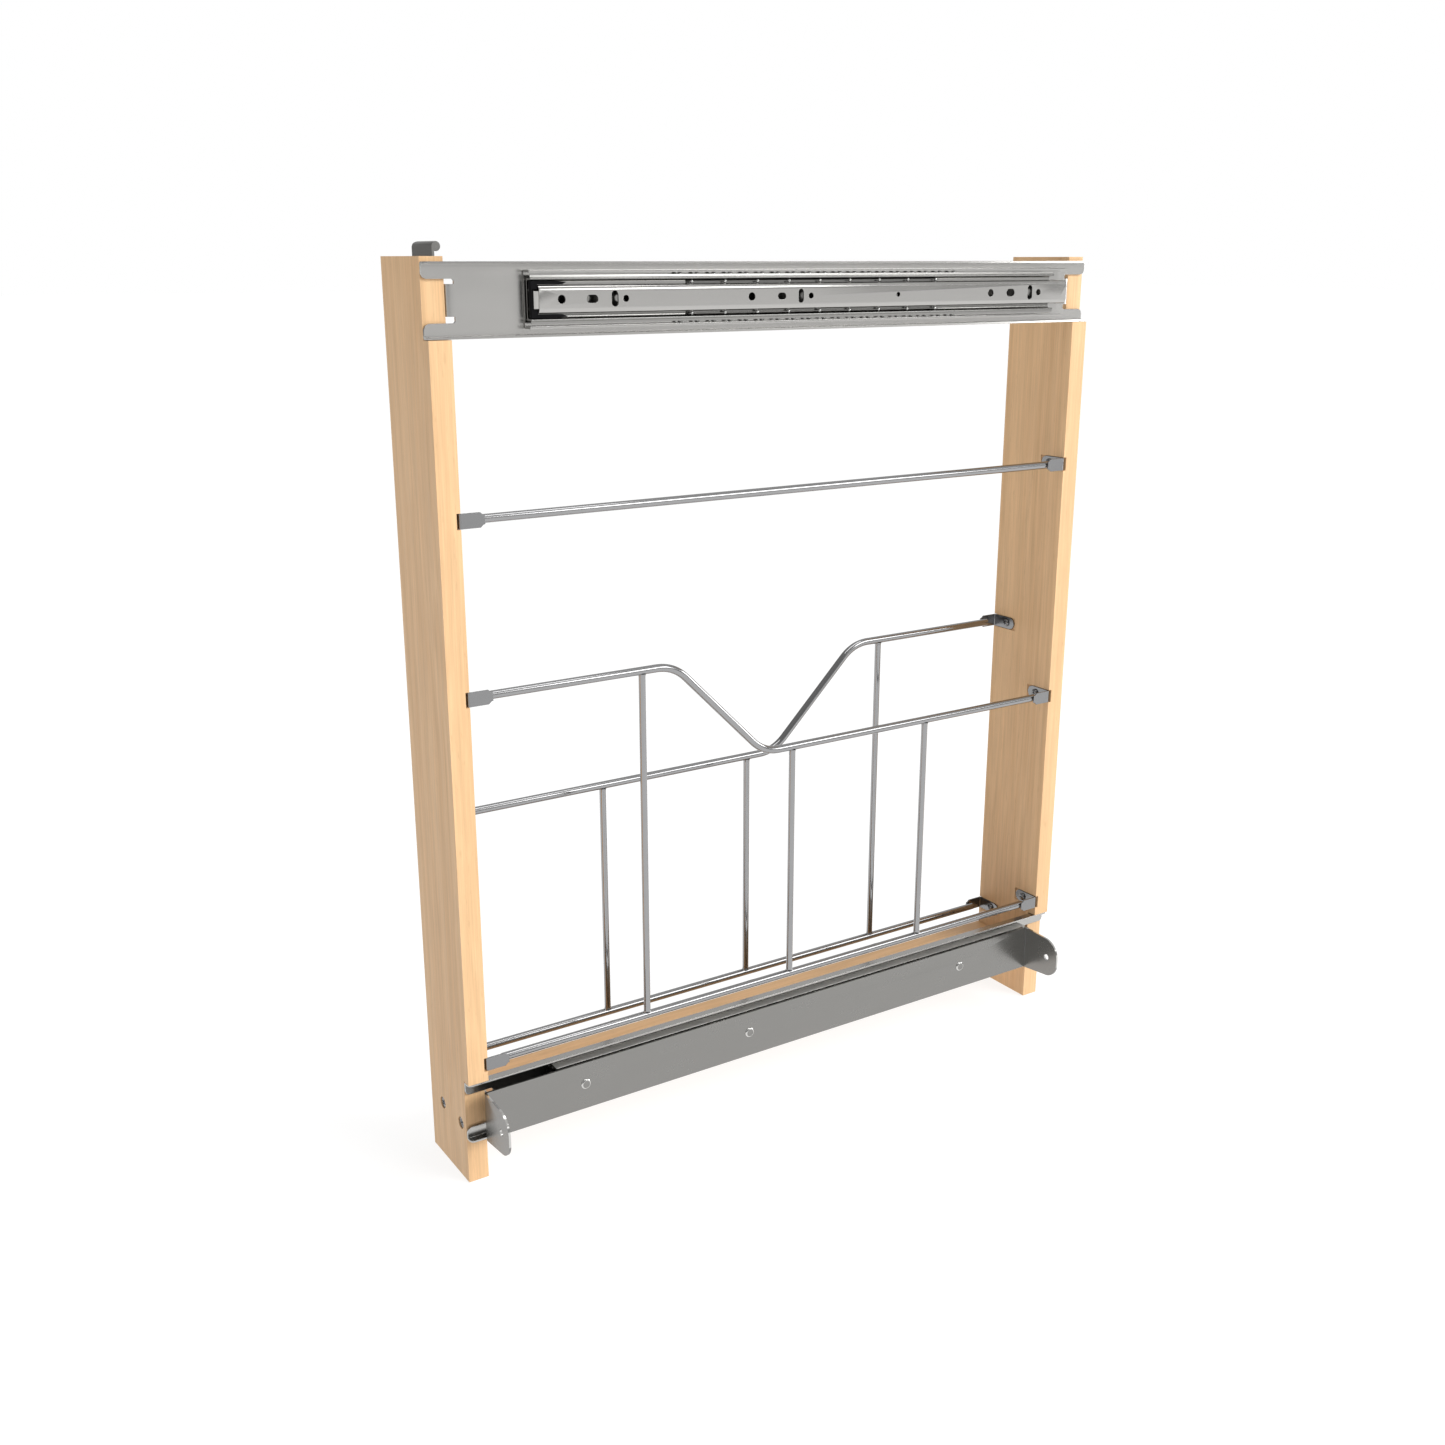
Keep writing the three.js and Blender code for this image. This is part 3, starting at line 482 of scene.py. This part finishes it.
def tube(points, radius):
    """A round wire along points that lie in one upright plane, with slightly domed ends."""
    bm = bmesh.new()
    first = (points[1] - points[0]).normalized()
    last = (points[-1] - points[-2]).normalized()
    centres = [points[0] + first * RAIL_DOME, *points[1:-1], points[-1] - last * RAIL_DOME]

    def add_ring(centre, direction, size):
        return ring_of(bm, centre, size, AXIS_Y, direction.cross(AXIS_Y).normalized(), WIRE_SIDES)

    rings = [add_ring(points[0], first, radius - RAIL_DOME)]
    for i, centre in enumerate(centres):
        before = points[i] - points[max(i - 1, 0)]
        after = points[min(i + 1, len(points) - 1)] - points[i]
        direction = (before.normalized() + after.normalized()).normalized()
        rings.append(add_ring(centre, direction, radius))
    rings.append(add_ring(points[-1], last, radius - RAIL_DOME))
    bridge(bm, rings)
    close_ends(bm, rings)
    return bm


def bend_points(before, corner, after, steps=14):
    """A smooth bend from before to after that leans on the corner."""
    found = []
    for i in range(steps + 1):
        t = i / steps
        found.append(before * (1 - t) ** 2 + corner * 2 * t * (1 - t) + after * t ** 2)
    return found


def add_rail(node, points):
    piece = finish_mesh(tube(points, RAIL_RADIUS), node + "_wire", material_of(node), 40)
    return stand_for(piece, node)


def straight_wire(node):
    low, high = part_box(node)
    middle = (low + high) / 2
    return add_rail(node, [Vector((x, middle.y, middle.z)) for x in (low.x, high.x)])


def stepped_wire(edge):
    """The panel's top wire, inside the CAD wire's bounds, with its step at a given run from the end."""
    node = f"{edge}_panel_rail"
    low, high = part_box(node)
    y = (low.y + high.y) / 2
    top = high.z - RAIL_RADIUS
    bottom = low.z + RAIL_RADIUS
    step = top - bottom
    if edge == "near":
        xs = [low.x, low.x + STEP_RUN, low.x + STEP_RUN + step, high.x]
    else:
        xs = [high.x, high.x - STEP_RUN, high.x - STEP_RUN - step, low.x]
    corners = [Vector((x, y, z)) for x, z in zip(xs, (top, top, bottom, bottom))]
    points = [corners[0]]
    for i in (1, 2):
        back = (corners[i - 1] - corners[i]).normalized() * STEP_BEND
        onward = (corners[i + 1] - corners[i]).normalized() * STEP_BEND
        points += bend_points(corners[i] + back, corners[i], corners[i] + onward)
    points.append(corners[3])
    return add_rail(node, points)


def upright_wire(node):
    """A bar between two rails, with a weld collar at each end."""
    low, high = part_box(node)
    middle = (low + high) / 2
    collar = [(COLLAR_LENGTH * share - COLLAR_SINK, BAR_RADIUS + COLLAR_FLARE * (1 - share) ** 2)
              for share in (0, 0.35, 0.7, 1)]
    profile = [(low.z + rise, radius) for rise, radius in collar]
    profile += [(high.z - rise, radius) for rise, radius in reversed(collar)]
    bm = bmesh.new()
    rings = [ring_of(bm, Vector((middle.x, middle.y, z)), radius, AXIS_X, AXIS_Y, WIRE_SIDES)
             for z, radius in profile]
    bridge(bm, rings)
    close_ends(bm, rings)
    return stand_for(finish_mesh(bm, node + "_wire", material_of(node), 50), node)


# ---------- ball cages ----------

def cage_strip(node, section, low, high):
    """The thin C-shaped strip that holds the balls apart, darkened as painted shade between the balls."""
    middle = (low.z + high.z) / 2
    upper = [(low.y + y * MM, z * MM) for y, z in section]
    outline = [(y, middle + z) for y, z in upper] + [(y, middle - z) for y, z in reversed(upper)]
    bm = extruded(outline, low.x, high.x)
    return stand_for(finish_mesh(bm, node + "_strip", MATERIALS["cage_steel"]), node)


def cage_balls(node, cage, low, high):
    """The steel balls, in an upper and a lower row."""
    balls, pitch, radius, rise, behind, _ = cage
    bm = bmesh.new()
    for i in range(balls):
        for side in (1, -1):
            at = Vector((low.x + CAGE_END + i * pitch * MM, low.y + behind * MM,
                         (low.z + high.z) / 2 + side * rise * MM))
            bmesh.ops.create_uvsphere(
                bm, u_segments=20, v_segments=12, radius=radius * MM, matrix=Matrix.Translation(at))
    ride_with(finish_mesh(bm, node + "_balls", MATERIALS["ball_steel"], 60), node)


def ball_cage(level, kind):
    node = f"{level}_{kind}_cage"
    low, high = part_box(node)
    cage_strip(node, CAGES[kind][-1], low, high)
    cage_balls(node, CAGES[kind], low, high)


# ---------- screws ----------

def lathe(profile, sides=28):
    """A solid of revolution about X, from pairs of x and radius that start and end on the axis."""
    bm = bmesh.new()
    start, *middle, end = profile
    first = bm.verts.new((start[0], 0, 0))
    rings = [ring_of(bm, Vector((x, 0, 0)), radius, AXIS_Y, AXIS_Z, sides) for x, radius in middle]
    last = bm.verts.new((end[0], 0, 0))
    for i in range(sides):
        bm.faces.new((first, rings[0][(i + 1) % sides], rings[0][i]))
    bridge(bm, rings)
    for i in range(sides):
        bm.faces.new((rings[-1][i], rings[-1][(i + 1) % sides], last))
    bmesh.ops.recalc_face_normals(bm, faces=bm.faces)
    return bm


def join_into(bm, other):
    mesh = bpy.data.meshes.new("part")
    other.to_mesh(mesh)
    other.free()
    bm.from_mesh(mesh)
    bpy.data.meshes.remove(mesh)


def cross_recess(x_face, depth, size):
    """Two tapered blades that cut a cross into a screw head whose face is at x_face."""
    bm = bmesh.new()
    for turn in (0, 90):
        blade = bmesh.new()
        bmesh.ops.create_cube(blade, size=1.0)
        for v in blade.verts:
            is_outer = v.co.x > 0
            v.co.y *= 2 * size if is_outer else 0.9 * size
            v.co.z *= 0.42 * size if is_outer else 0.26 * size
            v.co.x = x_face + BLADE_OVERSHOOT if is_outer else x_face - depth
        bmesh.ops.rotate(blade, verts=blade.verts, matrix=Matrix.Rotation(math.radians(turn), 3, "X"))
        join_into(bm, blade)
    bmesh.ops.recalc_face_normals(bm, faces=bm.faces)
    return bm


def mesh_object(bm, name):
    mesh = bpy.data.meshes.new(name)
    bm.to_mesh(mesh)
    bm.free()
    return link_object(name, mesh)


def cut_head(body, cutter, name):
    """The screw with its cross recess cut in, as one finished mesh."""
    screw = mesh_object(body, name)
    tool = mesh_object(cutter, name + "_tool")
    cut = screw.modifiers.new("recess", "BOOLEAN")
    cut.object = tool
    cut.operation = "DIFFERENCE"
    cut.solver = "EXACT"
    cut.use_self = True
    bpy.context.view_layer.update()
    shape = bpy.data.meshes.new_from_object(screw.evaluated_get(bpy.context.evaluated_depsgraph_get()))
    shape.name = name
    bpy.data.objects.remove(screw)
    bpy.data.objects.remove(tool)
    shape.materials.clear()
    shape.materials.append(MATERIALS["screw_steel"])
    smooth_but_for(shape, 32)
    return shape


def scaled(profile):
    return [(x * MM, r * MM) for x, r in profile]


def make_screw_shapes():
    pan = lathe(scaled(PAN_PROFILE))
    pan_cross = cross_recess(PAN_TOP, depth=1.3 * MM, size=1.75 * MM)
    flat = lathe(scaled(FLAT_PROFILE))
    flat_cross = cross_recess(0, depth=1.7 * MM, size=2.6 * MM)
    return cut_head(pan, pan_cross, "pan_screw_shape"), cut_head(flat, flat_cross, "flat_screw_shape")


def put_screw(node, shape, head_at_low, seat, turn):
    """Places a screw whose head looks along -X if head_at_low, and along +X if not."""
    low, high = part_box(node)
    centre = (low + high) / 2
    x = low.x + seat if head_at_low else high.x - seat
    piece = link_object(node + "_screw", shape)
    facing = Matrix.Rotation(math.pi if head_at_low else 0, 4, "Z")
    spin = Matrix.Rotation(math.radians(turn), 4, "X")
    piece.matrix_world = Matrix.Translation((x, centre.y, centre.z)) @ facing @ spin
    return stand_for(piece, node)


# ---------- faces with painted highlights, sheen and shade ---

def recoat(piece, look, is_chosen):
    """Gives the faces that is_chosen picks another of the materials."""
    piece.data.materials.append(MATERIALS[look])
    index = len(piece.data.materials) - 1
    for face in piece.data.polygons:
        if is_chosen(face):
            face.material_index = index


def is_painted_sheen_level(face):
    """True on the insides and outsides of a slide's lips, which get a painted sheen."""
    return abs(face.normal.z) > 0.9


def is_painted_highlight_ear_rim(face):
    """True on the upper and outer rim of a bracket ear, which carries a painted highlight."""
    is_edge = abs(face.normal.x) < 0.3 and face.normal.z > -0.2
    return is_edge and face.center.y < DIMPLE_FACE_Y - 2 * MM


def is_painted_shade_bend(face):
    """True on the narrow face inside the bend of the rear ear, which is painted dark as shade."""
    return face.normal.x < -0.4 and face.normal.y < -0.4


# the dimple's rim faces, which get a painted highlight
def is_painted_highlight_dimple_rim(face):
    return abs(face.normal.x) < 0.985


def dimple(index, x):
    """The rounded top of one pressed dimple, over the faceted one on the bracket's face; its rim carries a
    painted highlight.
    """
    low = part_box("mount_bracket")[0]
    piece = finish_mesh(lathe(scaled(DIMPLE_PROFILE), 40), f"mount_bracket_dimple_{index}",
                        MATERIALS["bracket_steel"], 70)
    recoat(piece, "painted_highlight_edge", is_painted_highlight_dimple_rim)
    turn = Matrix.Rotation(math.radians(-90), 4, "Z")
    piece.matrix_world = Matrix.Translation((low.x + x * MM, DIMPLE_FACE_Y, 0)) @ turn
    ride_with(piece, "mount_bracket")


# ---------- build ----------

for node in ("front_board", "rear_board", "bottom_shelf"):
    soften(node, BOARD_EDGE, 3)
for node in ("top_channel", "bottom_channel", "top_catch"):
    soften(node, SHEET_EDGE)
bracket = soften("mount_bracket", SHEET_EDGE)
# paints a highlight on the rims of the bracket's ears
recoat(bracket, "painted_highlight_edge", is_painted_highlight_ear_rim)
# paints shade on the narrow face inside the rear ear's bend
recoat(bracket, "painted_shade_bend", is_painted_shade_bend)
for level in ("top", "bottom"):
    rolled(f"{level}_slide_mid", SECTIONS["slide_mid"])
    outer = rolled(f"{level}_slide_outer", SECTIONS["slide_outer"])
    # paints a sheen on the outer member's level faces
    recoat(outer, "painted_sheen_level", is_painted_sheen_level)
    soften(f"{level}_slide_inner", SLIDE_EDGE, angle=30, shape=round_shoulders)
    soften(f"{level}_slide_bumper", CLIP_EDGE)
for node in sorted(NODES):
    if "_clip" in node and not node.endswith("_screw"):
        soften(node, CLIP_EDGE)
for node in ("towel_rail", "near_panel_base", "far_panel_base"):
    straight_wire(node)
for edge in ("near", "far"):
    stepped_wire(edge)
    for index in (1, 2, 3):
        upright_wire(f"{edge}_panel_bar_{index}")
for level in ("top", "bottom"):
    for kind in CAGES:
        ball_cage(level, kind)
for index, x in enumerate(DIMPLE_X):
    dimple(index + 1, x)

pan_shape, flat_shape = make_screw_shapes()
for index, node in enumerate(sorted(n for n in NODES if SLOT_OF[n] == "screw_steel")):
    at_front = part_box(node)[0].x < (cad_low.x + cad_high.x) / 2
    turn = 20 + TURN_STEP * index
    if node.startswith("shelf_screw"):
        put_screw(node, flat_shape, at_front, 0, turn)
    else:
        put_screw(node, pan_shape, not at_front, PAN_SEAT, turn)


# ---------- studio ----------

def add_floor():
    bm = bmesh.new()
    bmesh.ops.create_grid(bm, x_segments=4, y_segments=4, size=FLOOR_HALF)
    floor = mesh_object(bm, "floor")
    floor.location = (0.26, 0.05, cad_low.z - FLOOR_GAP)
    material, tree, shader = start_material("floor_paper")
    mottle = noise(tree, stretched(tree, (3, 3, 3)), detail=3)
    tone = mix_colour(tree, mottle, (0.21, 0.21, 0.21), (0.23, 0.23, 0.23))
    tree.links.new(tone, shader.inputs["Base Color"])
    shader.inputs["Roughness"].default_value = 0.9
    shader.inputs["Specular IOR Level"].default_value = 0.1
    shader.inputs["Emission Color"].default_value = (1, 1, 1, 1)
    shader.inputs["Emission Strength"].default_value = FLOOR_GLOW
    floor.data.materials.append(material)


def add_world():
    """A pale studio: plain white to the camera, and a soft grey room, darker on the left, for the light."""
    world = bpy.data.worlds.new("studio")
    bpy.context.scene.world = world
    world.use_nodes = True
    tree = world.node_tree
    tree.nodes.clear()
    coords = add_node(tree, "ShaderNodeTexCoord")
    parts = add_node(tree, "ShaderNodeSeparateXYZ", {0: coords.outputs["Generated"]})
    ramp = add_node(tree, "ShaderNodeValToRGB", {0: spread(tree, parts.outputs["Z"], -0.1, 1.0)})
    elements = ramp.color_ramp.elements
    while len(elements) < len(ROOM_STOPS):
        elements.new(0.5)
    for element, (position, value) in zip(elements, ROOM_STOPS):
        element.position = position
        element.color = (value, value, value * 0.99, 1)
    behind = spread(tree, parts.outputs["Y"], 0.0, 0.4)
    tone = mix_colour(tree, behind, ramp.outputs[0], ROOM_BEHIND)
    side = spread(tree, parts.outputs["X"], -0.25, 0.4, 0.48, 1.0)
    sky = add_node(tree, "ShaderNodeBackground", {"Color": tone, "Strength": side})
    plain = add_node(tree, "ShaderNodeBackground", {"Color": (1, 1, 1, 1), "Strength": 1.0})
    path = add_node(tree, "ShaderNodeLightPath")
    mix = add_node(tree, "ShaderNodeMixShader", {
        0: path.outputs["Is Camera Ray"], 1: sky.outputs[0], 2: plain.outputs[0]})
    output = add_node(tree, "ShaderNodeOutputWorld", {0: mix.outputs[0]})
    output.is_active_output = True


def aim(thing, direction):
    """Turns a lamp or a camera to look along direction, with Z up."""
    thing.rotation_mode = "QUATERNION"
    thing.rotation_quaternion = Vector(direction).to_track_quat("-Z", "Y")


def add_area(name, location, target, size, power):
    light = bpy.data.lights.new(name, "AREA")
    light.shape = "RECTANGLE"
    light.size, light.size_y = size
    light.energy = power
    lamp = link_object(name, light)
    lamp.location = location
    aim(lamp, Vector(target) - Vector(location))


def add_sun(direction, strength, angle):
    """A soft sun that shines from direction and shows in no reflection."""
    light = bpy.data.lights.new("key", "SUN")
    light.energy = strength
    light.angle = math.radians(angle)
    lamp = link_object("key", light)
    aim(lamp, -Vector(direction))
    lamp.visible_glossy = False


def add_camera():
    data = bpy.data.cameras.new("camera")
    data.sensor_width = 36.0
    data.lens = CAMERA_LENS
    data.clip_start, data.clip_end = 0.01, 200
    camera = link_object("camera", data)
    camera.location = CAMERA_AT
    aim(camera, CAMERA_LOOK)
    bpy.context.scene.camera = camera


add_floor()
add_world()
add_sun(direction=(0.42, -0.72, 0.55), strength=1.8, angle=28)
add_area("soft_left", location=(-1.6, -0.5, 1.3), target=(0.25, 0.05, 0.3), size=(1.2, 1.6), power=2)
add_area("soft_key", location=(1.34, -1.46, 1.3), target=(0.25, 0.05, 0.35), size=(0.9, 0.7), power=9)
add_area("soft_low", location=(1.4, -1.7, 0.98), target=(0.9, 0.0, 0.2), size=(1.7, 0.3), power=1.8)
add_area("soft_right", location=(2.55, -0.5, 0.62), target=(0.25, 0.0, 0.1), size=(1.0, 1.1), power=20)
add_area("soft_top", location=(0.3, -0.3, 2.2), target=(0.25, 0.05, 0.3), size=(1.6, 0.7), power=10)
add_camera()
bpy.context.scene.view_settings.view_transform = "Standard"

bpy.context.view_layer.update()
